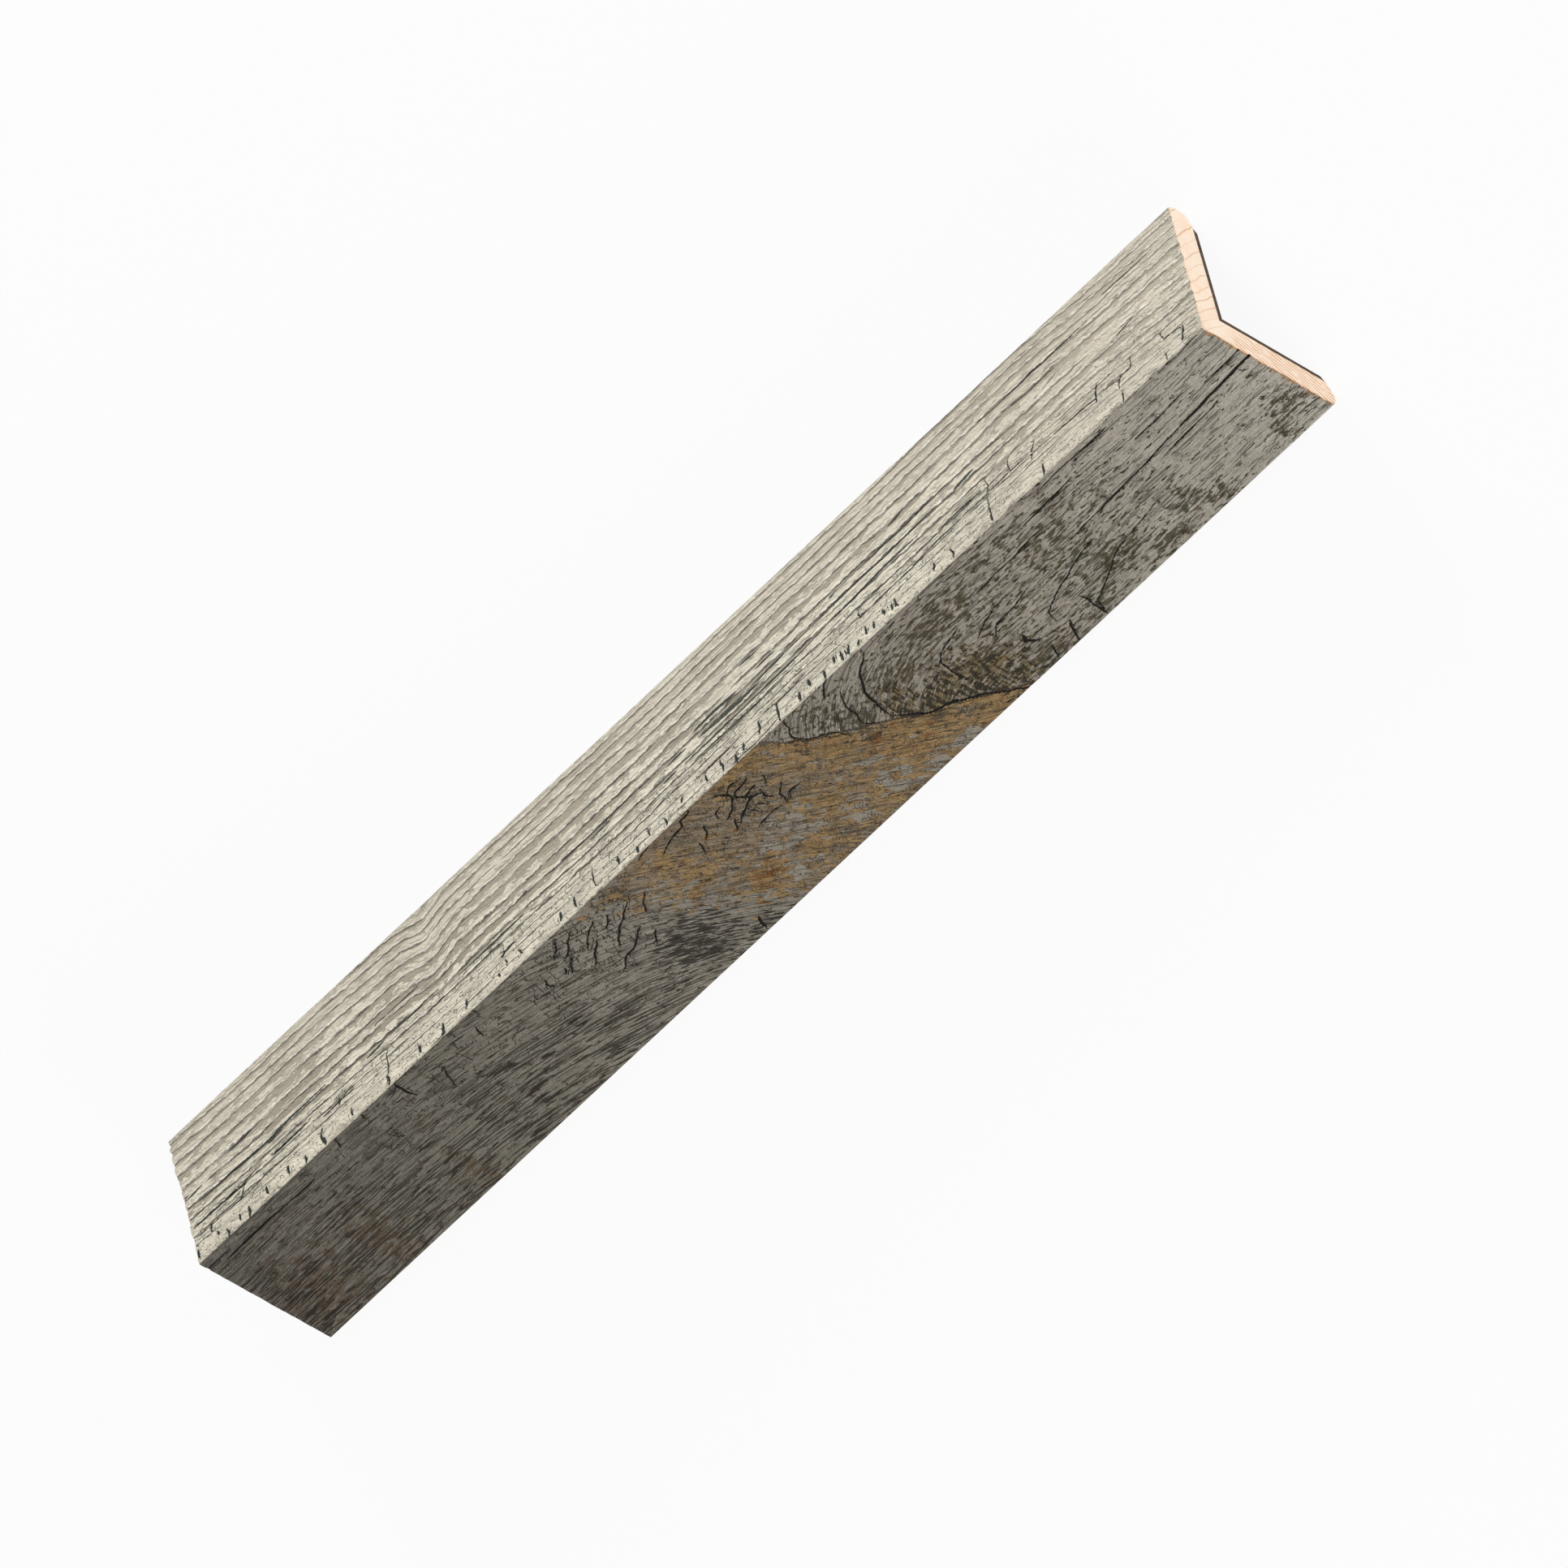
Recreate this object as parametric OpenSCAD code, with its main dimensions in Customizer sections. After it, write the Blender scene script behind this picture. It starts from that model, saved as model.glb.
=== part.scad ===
// Corner guard moulding for an outside corner: an L-section of solid pine
// with a thin fibre sheet on its back faces. It lies as a tent, the sharp
// outer corner up, on the tips of its two legs. The length runs along X,
// the pale leg slopes down towards +Y and the grey leg towards -Y.

/* [Stock] */
// Length of the cut piece
stock_length = 304.8; // [100:0.1:2440]
// Width of each leg, from the outer corner to the peak of its nose
leg_w = 38.1; // [25:0.1:90]
// Thickness of the wood
wood_t = 6.35; // [4:0.05:10]
// Radius worn on the outer corner
corner_r = 0.3; // [0.1:0.05:3]

/* [Leg tips] */
// How far the peak of the nose stands proud of the outer face's edge
nose_proud = 1.0; // [0.3:0.05:2]
// Depth of the nose's peak below the outer face
nose_depth = 2.8; // [2:0.05:3.5]
// How far the back edge of the pale leg is set back from the nose's peak
pale_bevel_run = 3.3; // [1.2:0.05:6]
// How far the back edge of the grey leg is set back from the nose's peak
grey_bevel_run = 1.8; // [1.2:0.05:6]

/* [Backing sheet] */
// Thickness of the sheet on the back faces
sheet_t = 1.0; // [0.3:0.05:3]
// Bare wood left between a back edge and the edge of the sheet
sheet_inset = 0.2; // [0.1:0.05:4]

/* [Hidden] */
$fn = 96;

// Depth at which each bevel starts on the nose, as a share of the thickness
pale_bevel_start_share = 0.835;
grey_bevel_start_share = 0.47;
// Overrun of the cutting shapes
overrun = 1;

// The nose is an arc through the outer face's edge with its peak at leg_w
face_w = leg_w - nose_proud;
nose_r = (nose_proud * nose_proud + nose_depth * nose_depth) / (2 * nose_proud);
nose_x = leg_w - nose_r;

// Reach of the tip along its leg, at a depth below the outer face
function tip_x(depth) =
    let (off = depth - nose_depth)
    max(face_w, nose_x + sqrt(max(0, nose_r * nose_r - off * off)));

// Sum of width and depth at the lowest point of a tip when the tent is up
function tip_reach(bevel_run, bevel_start) =
    let (low = min(bevel_start, nose_depth + nose_r * sin(45)))
    max(tip_x(low) + low, leg_w - bevel_run + wood_t);

pale_bevel_start = wood_t * pale_bevel_start_share;
grey_bevel_start = wood_t * grey_bevel_start_share;
ridge_z = sin(45) * max(tip_reach(pale_bevel_run, pale_bevel_start),
                        tip_reach(grey_bevel_run, grey_bevel_start));

// Flat section of one leg: width along x, depth below the outer face along y
module leg_section(bevel_run, bevel_start) {
    difference() {
        intersection() {
            square([leg_w, wood_t]);
            union() {
                square([face_w, wood_t]);
                translate([nose_x, nose_depth]) circle(r = nose_r);
            }
        }
        polygon([
            [leg_w - bevel_run, wood_t],
            [tip_x(bevel_start), bevel_start],
            [leg_w + overrun, bevel_start],
            [leg_w + overrun, wood_t + overrun],
            [leg_w - bevel_run, wood_t + overrun]
        ]);
    }
}

// What the worn radius takes off the outer corner
module corner_wear() {
    difference() {
        translate([-overrun, -overrun]) square(corner_r + overrun);
        translate([corner_r, corner_r]) circle(r = corner_r);
    }
}

// Whole wood section, grey leg along x and pale leg along y
module wood_section() {
    difference() {
        union() {
            leg_section(grey_bevel_run, grey_bevel_start);
            mirror([1, -1]) leg_section(pale_bevel_run, pale_bevel_start);
        }
        corner_wear();
    }
}

// The sheet folds into the inner corner; its edges are trimmed at 45 degrees
module sheet_section() {
    grey_end = leg_w - grey_bevel_run - sheet_inset;
    pale_end = leg_w - pale_bevel_run - sheet_inset;
    inner = wood_t + sheet_t;
    polygon([
        [wood_t, wood_t],
        [grey_end, wood_t],
        [grey_end - sheet_t, inner],
        [inner, inner],
        [inner, pale_end - sheet_t],
        [wood_t, pale_end]
    ]);
}

// Runs a section along X and stands it as a tent on its tips
module as_tent() {
    translate([0, 0, ridge_z])
        rotate([90, 0, 90])
            linear_extrude(height = stock_length, center = true)
                rotate(225) children();
}

module moulding() {
    color("#b3ada0") as_tent() wood_section();
}

module backing() {
    color("#43372d") as_tent() sheet_section();
}

moulding();
backing();
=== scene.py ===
import math
import bpy
import numpy as np
from mathutils import Matrix, Vector


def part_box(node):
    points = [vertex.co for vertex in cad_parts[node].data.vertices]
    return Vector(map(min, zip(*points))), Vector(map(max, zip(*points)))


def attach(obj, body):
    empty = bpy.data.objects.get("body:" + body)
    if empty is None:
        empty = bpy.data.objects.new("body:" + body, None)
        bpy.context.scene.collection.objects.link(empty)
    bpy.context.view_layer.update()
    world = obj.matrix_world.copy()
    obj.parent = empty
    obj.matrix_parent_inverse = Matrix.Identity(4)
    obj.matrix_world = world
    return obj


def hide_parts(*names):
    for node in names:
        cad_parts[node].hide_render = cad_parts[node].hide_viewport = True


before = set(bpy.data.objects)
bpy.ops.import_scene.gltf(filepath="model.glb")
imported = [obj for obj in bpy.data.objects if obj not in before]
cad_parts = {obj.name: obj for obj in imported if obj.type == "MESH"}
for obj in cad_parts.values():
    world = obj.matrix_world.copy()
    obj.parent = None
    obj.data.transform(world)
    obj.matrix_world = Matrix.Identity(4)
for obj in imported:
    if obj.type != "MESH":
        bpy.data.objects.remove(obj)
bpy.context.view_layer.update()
print("frame loaded:", sorted(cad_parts))

mm = 0.001
slope = math.sqrt(0.5)  # both legs lie at 45 degrees to the floor

# Section in millimetres, the same as in the solids
section = {
    "legWidth": 38.1,
    "woodThick": 6.35,
    "cornerRadius": 0.3,
    "noseProud": 1.0,
    "noseDepth": 2.8,
    "paleBevelRun": 3.3,
    "greyBevelRun": 1.8,
    "paleBevelStart": 0.835,  # share of the thickness
    "greyBevelStart": 0.47,
}
boxLow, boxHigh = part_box("moulding")
length = (boxHigh.x - boxLow.x) / mm
ridge = boxHigh.z / mm + section["cornerRadius"] * (math.sqrt(2) - 1)  # height of the corner before it wore
faceWidth = boxHigh.y / mm / slope  # a face's lower edge is what stands out furthest

# The camera looks down on the ridge through a very long lens
view = {
    "lens": 1000,
    "sensor": 36,
    "distance": 8.84,
    "right": (0.6694, -0.6395, -0.3781),
    "up": (0.6238, 0.7602, -0.1816),
    "aimRight": 17.55,  # millimetres from the middle of the ridge to the middle of the picture
    "aimUp": 3.16,
}


def placeCamera():
    right = Vector(view["right"]).normalized()
    back = right.cross(Vector(view["up"])).normalized()
    up = back.cross(right)
    aim = Vector((0, 0, ridge)) + right * view["aimRight"] + up * view["aimUp"]
    data = bpy.data.cameras.new("longLens")
    data.lens = view["lens"]
    data.sensor_width = view["sensor"]
    camera = bpy.data.objects.new("longLens", data)
    camera.matrix_world = Matrix((right, up, back)).transposed().to_4x4()
    camera.location = aim * mm + back * view["distance"]
    bpy.context.scene.collection.objects.link(camera)
    bpy.context.scene.camera = camera
    bpy.context.scene.view_settings.view_transform = "Standard"


placeCamera()
print("camera placed")


def hexColour(text):
    # sRGB hex to the linear colour that the shaders take
    channels = [int(text[i:i + 2], 16) / 255 for i in (1, 3, 5)]
    return [c / 12.92 if c <= 0.04045 else ((c + 0.055) / 1.055) ** 2.4 for c in channels] + [1.0]


def startTree(owner):
    # clears the node tree of a material or world; every node added after this goes there
    global tree
    owner.use_nodes = True
    tree = owner.node_tree
    tree.nodes.clear()
    return owner


def addNode(kind, inputs=None, out=0, ramp=None, **settings):
    # adds one node, sets it, links or fills its inputs and gives back one output, if it has any
    node = tree.nodes.new("ShaderNode" + kind)
    for name, value in settings.items():
        setattr(node, name, value)
    for key, value in (inputs or {}).items():
        if isinstance(value, bpy.types.NodeSocket):
            tree.links.new(value, node.inputs[key])
        else:
            node.inputs[key].default_value = value
    if ramp:
        stops = node.color_ramp.elements
        while len(stops) < len(ramp):
            stops.new(1.0)
        for stop, (place, colour) in zip(stops, ramp):
            stop.position = place
            stop.color = hexColour(colour)
    return node.outputs[out] if node.outputs else None


# Plain stage: a pale floor that keeps a faint shadow, even sky light and softboxes that graze the grain
stageSet = {
    "floorSize": 6.0,
    "floorColour": "#F2F2F2",
    "floorWhite": 0.93,  # how much of what the camera sees of the floor is plain white
    "skyStrength": 0.3,
    "softboxes": (  # place, watts and size
        ((0.15, 1.27, 0.3), 15.8, 0.5),  # low on the pale side
        ((0.1, -1.2, 0.42), 9.0, 0.5),  # low on the grey side
        ((1.3, 0.15, 0.2), 6.9, 0.5),  # before the sawn end
    ),
}


def buildStage():
    half = stageSet["floorSize"] / 2
    corners = [(-half, -half, 0), (half, -half, 0), (half, half, 0), (-half, half, 0)]
    mesh = bpy.data.meshes.new("floor")
    mesh.from_pydata(corners, [], [(0, 1, 2, 3)])
    floor = bpy.data.objects.new("floor", mesh)
    bpy.context.scene.collection.objects.link(floor)
    paper = bpy.data.materials.new("studioPaper")
    startTree(paper)
    diffuse = addNode("BsdfDiffuse", {"Color": hexColour(stageSet["floorColour"])})
    white = addNode("Emission", {"Color": (1, 1, 1, 1), "Strength": 1.0})
    seen = addNode("LightPath", out="Is Camera Ray")
    share = addNode("Math", {0: seen, 1: stageSet["floorWhite"]}, operation="MULTIPLY")
    mixed = addNode("MixShader", {0: share, 1: diffuse, 2: white})
    addNode("OutputMaterial", {"Surface": mixed})
    mesh.materials.append(paper)

    # the camera and what shines or lets light through see plain white, all else the weaker sky
    world = bpy.data.worlds.new("softbox")
    bpy.context.scene.world = world
    startTree(world)
    path = addNode("LightPath").node
    clear = path.outputs["Is Camera Ray"]
    for ray in ("Is Glossy Ray", "Is Transmission Ray"):
        clear = addNode("Math", {0: clear, 1: path.outputs[ray]}, operation="MAXIMUM")
    strength = addNode("MapRange", {"Value": clear, "To Min": stageSet["skyStrength"], "To Max": 1.0})
    sky = addNode("Background", {"Color": (1, 1, 1, 1), "Strength": strength})
    addNode("OutputWorld", {"Surface": sky})

    for place, watts, size in stageSet["softboxes"]:
        light = bpy.data.lights.new("softbox", "AREA")
        light.energy = watts
        light.size = size
        lamp = bpy.data.objects.new("softbox", light)
        lamp.location = place
        lamp.rotation_euler = (-Vector(place)).to_track_quat("-Z", "Y").to_euler()
        bpy.context.scene.collection.objects.link(lamp)


buildStage()
print("stage and light built")


# Smooth random fields for the shapes, all seeded
def wander(x, y, seed):
    # from -1 to 1, one change for each unit of x and y
    size = 64  # the pattern repeats after so many units
    table = np.random.default_rng(seed).uniform(-1, 1, (size, size))
    x, y = np.broadcast_arrays(x, y)
    i, j = np.floor(x).astype(int), np.floor(y).astype(int)
    fx, fy = x - i, y - j
    fx, fy = fx * fx * (3 - 2 * fx), fy * fy * (3 - 2 * fy)
    i, j, nextI, nextJ = i % size, j % size, (i + 1) % size, (j + 1) % size
    near = table[i, j] * (1 - fx) + table[nextI, j] * fx
    far = table[i, nextJ] * (1 - fx) + table[nextI, nextJ] * fx
    return near * (1 - fy) + far * fy


def sway(value, x, y, waves):
    # a value with waves added: how high, how long along x and y, seed
    for amount, sizeX, sizeY, seed in waves:
        value = value + amount * wander(x / sizeX, y / sizeY, seed)
    return value


def ease(value, start, end):
    t = np.clip((value - start) / (end - start), 0, 1)
    return t * t * (3 - 2 * t)


def drawMarks(x, y, marks, seed):
    # Offset (mm) of each point from the nearest drawn crack, with that crack's half width there.
    # Points further than reach hold a far value, so that nothing shows between two cracks.
    reach, far, splits = 1.1, 9.0, 3
    offX, offY = np.full(x.shape, far), np.full(x.shape, far)
    half, best = np.zeros(x.shape), np.full(x.shape, reach)
    rng = np.random.default_rng(seed)
    for width, shake, *points in marks:
        line = [np.array(p, float) for p in points]
        for _ in range(splits):  # each pass halves the segments and shakes the new points sideways
            finer = [line[0]]
            for a, b in zip(line, line[1:]):
                side = np.array((a[1] - b[1], b[0] - a[0]))
                finer += [(a + b) / 2 + side * rng.uniform(-shake, shake), b]
            line = finer
        steps = len(line) - 1
        for k, (a, b) in enumerate(zip(line, line[1:])):
            near = ((x > min(a[0], b[0]) - reach) & (x < max(a[0], b[0]) + reach)
                    & (y > min(a[1], b[1]) - reach) & (y < max(a[1], b[1]) + reach))
            if not near.any():
                continue
            dx, dy = b - a
            px, py = x[near] - a[0], y[near] - a[1]
            t = np.clip((px * dx + py * dy) / max(dx * dx + dy * dy, 1e-9), 0, 1)
            ox, oy = px - t * dx, py - t * dy
            gap = np.hypot(ox, oy)
            taper = np.sqrt(np.sin(np.pi * np.clip((k + t) / steps, 0.02, 0.98)))
            closer = gap < best[near]
            for whole, value in ((offX, ox), (offY, oy), (half, width * taper), (best, gap)):
                part = whole[near]
                part[closer] = value[closer]
                whole[near] = part
    return offX, offY, half, best


# The pale leg. Places are (along from the cut end that shows, across from the outer corner) in millimetres
paleBoard = {
    # where the soft rings sank between the hard ones, and how strongly
    "grooveAt": (-3.0, 2.9, 5.4, 7.8, 10.2, 13.2, 16.6, 19.7, 23.9, 27.6, 30.8, 33.4, 36.1, 39.0),
    "grooveForce": (0.0, 0.1, 0.2, 0.25, 0.4, 0.65, 0.95, 0.9, 1.0, 0.9, 0.7, 0.95, 0.6, 0.8),
    "ringWide": 3.2,  # from one soft ring to the next, on average
    # the grain's slow drift towards the tip, and its smaller waves
    "driftAlong": (0, 20, 38, 76, 114, 152, 190, 222, 240, 267, 305),
    "driftAcross": (-2.3, -1.0, 0.1, 0.5, 0.0, -0.55, -0.6, -0.2, 0.3, 1.1, 2.4),
    "waves": ((0.55, 26, 9, 11), (0.2, 8, 4, 12), (0.1, 3, 2, 13)),
    # a dip of the grain beside a knot
    "dipAt": 228,
    "dipWide": 5,
    "dipDeep": 2.2,
    # depths: the grooves, the rounding of the ridges, the brush marks all over, the cracks
    "grooveDeep": 0.26,
    "crownDeep": 0.06,
    "brushDeep": 0.03,
    "crackDeep": 0.35,
    # cross checks near the outer corner
    "checksAt": (5.3, 10.8, 23.6, 47.4, 62.9, 75.1, 80.1, 91.8, 93, 95.4, 98.4, 100.7, 103.2, 105.9, 108.4,
                 110.4, 113.6, 118.1, 121.1, 127.1, 132.8, 137.8, 140.4, 144.6, 149, 156.1, 161.8, 166.6,
                 170.5, 175.8, 189, 193.3, 205.8, 212.4, 222.1, 229.3, 236.4, 246.2, 257.3, 265.8, 271.7,
                 276.7, 283.3, 288.9, 291.7, 295.8, 298.3, 304.2),
    # cracks: half width, shake as a share of a segment, then the places from end to end
    "cracks": (
        (0.14, 0.1, (28.9, 11.1), (30.3, 7.7), (30.4, 6.1)), (0.1, 0.2, (5, 5.5), (5.9, 2)),
        (0.07, 0.2, (4.7, 5.5), (10.6, 6.4), (10.9, 9.2)), (0.1, 0.05, (30.3, 7.4), (43, 8.3)),
        (0.08, 0.1, (19.4, 9.9), (20, 7.4), (27.5, 7.4)), (0.08, 0.2, (23, 7.4), (24, 4.6)),
        (0.08, 0.2, (47.8, 11.1), (49.4, 8.9), (49.7, 6.8)), (0.06, 0.2, (55.3, 13), (55.6, 9.3)),
        (0.08, 0.15, (62.5, 13), (62.2, 8.6), (63.4, 3), (62.8, 0.5)),
        (0.07, 0.03, (50, 8.9), (62, 9), (76, 8.9), (90, 8.2), (101, 7.6)),
        (0.1, 0.03, (63.8, 11.1), (77, 11)), (0.1, 0.2, (101, 9.6), (101.3, 7.4)),
        (0.1, 0.04, (118, 6.8), (127, 6), (132.8, 6.1)), (0.2, 0.12, (127.1, 6.2), (127.2, 0.3)),
        (0.16, 0.2, (132.8, 6.2), (132.9, 3)), (0.08, 0.04, (138, 5.8), (152, 5.5)),
        (0.08, 0.04, (127.4, 1.8), (142.5, 0.5)), (0.1, 0.2, (182.7, 7.7), (183, 5), (182.3, 2)),
        (0.25, 0.2, (209, 7.4), (210.5, 6.3)), (0.12, 0.2, (209.7, 4.9), (209.9, 3)),
        (0.12, 0.05, (229, 0.7), (233.6, 0.7)),
        (0.09, 0.2, (244.5, 10), (245.3, 7.4), (245.6, 5), (246.7, 1.6)),
        (0.16, 0.04, (255.5, 8), (264.5, 8)), (0.1, 0.2, (259.8, 9.6), (260, 7.2)),
        (0.2, 0.15, (265.8, 5.5), (265.9, 0.8)), (0.16, 0.04, (268.6, 10.2), (276, 10.2), (280, 10.4)),
        (0.16, 0.15, (288.5, 10.5), (290.5, 7)), (0.09, 0.04, (283, 10.5), (297, 10.3)),
        (0.08, 0.04, (272.5, 7), (303.5, 7.3)), (0.16, 0.2, (299.5, 7.4), (299.6, 5.2))),
    # dark streaks along the grooves, in the same way
    "streaks": (
        (0.14, 0.02, (8, 30.6), (22, 30.9)), (0.12, 0.02, (27, 28), (45, 28.4), (60, 28.5)),
        (0.11, 0.02, (38, 24.4), (52, 25)), (0.15, 0.05, (16, 18.6), (21, 17.6)),
        (0.29, 0.05, (64, 17.8), (70.5, 17)), (0.2, 0.02, (76, 20.4), (92, 19.9), (106, 19.2)),
        (0.26, 0.05, (84.5, 24.2), (88.7, 23.7)), (0.34, 0.05, (104.5, 19.3), (107.5, 19)),
        (0.24, 0.01, (76, 17.4), (100, 16.9), (125, 16.1), (147, 15.2)),
        (0.26, 0.015, (83, 14.4), (97, 14), (110, 13.3)),
        (0.34, 0.015, (110, 13.2), (123, 12.2), (138, 11.9), (153, 11.7)),
        (0.34, 0.04, (128, 23.3), (133.7, 23.2)), (0.29, 0.03, (124, 18.8), (130, 18.6)),
        (0.34, 0.03, (136, 17.6), (149, 17.3)), (0.26, 0.03, (122, 15.9), (134, 15.5)),
        (0.29, 0.03, (130, 14.5), (148, 14.8)), (0.23, 0.02, (123, 10), (138, 9.8), (152, 9.6)),
        (0.29, 0.02, (152, 15.1), (158, 15)), (0.29, 0.03, (155.5, 11.7), (159.5, 11.5)),
        (0.29, 0.04, (174, 14.8), (181, 14.5)), (0.12, 0.01, (160, 16.4), (190, 16.2)),
        (0.3, 0.015, (202, 11.7), (212, 11.4), (222, 11.5)), (0.34, 0.06, (206, 6.9), (210.5, 6.5)),
        (0.23, 0.02, (233, 18.6), (246, 18.3)), (0.29, 0.04, (245, 12.4), (250, 12.1)),
        (0.2, 0.01, (262, 15.3), (281, 14.9), (300, 15.6)), (0.29, 0.04, (276, 14.4), (280, 14.1)),
        (0.26, 0.03, (283, 21.4), (291, 21.1)), (0.26, 0.03, (299, 18.8), (304, 18.6)),
        (0.29, 0.02, (268, 10.2), (279, 9.9)), (0.23, 0.02, (291, 10.2), (304, 10)),
        (0.14, 0.015, (228, 12.8), (246, 13.1))),
}

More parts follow.
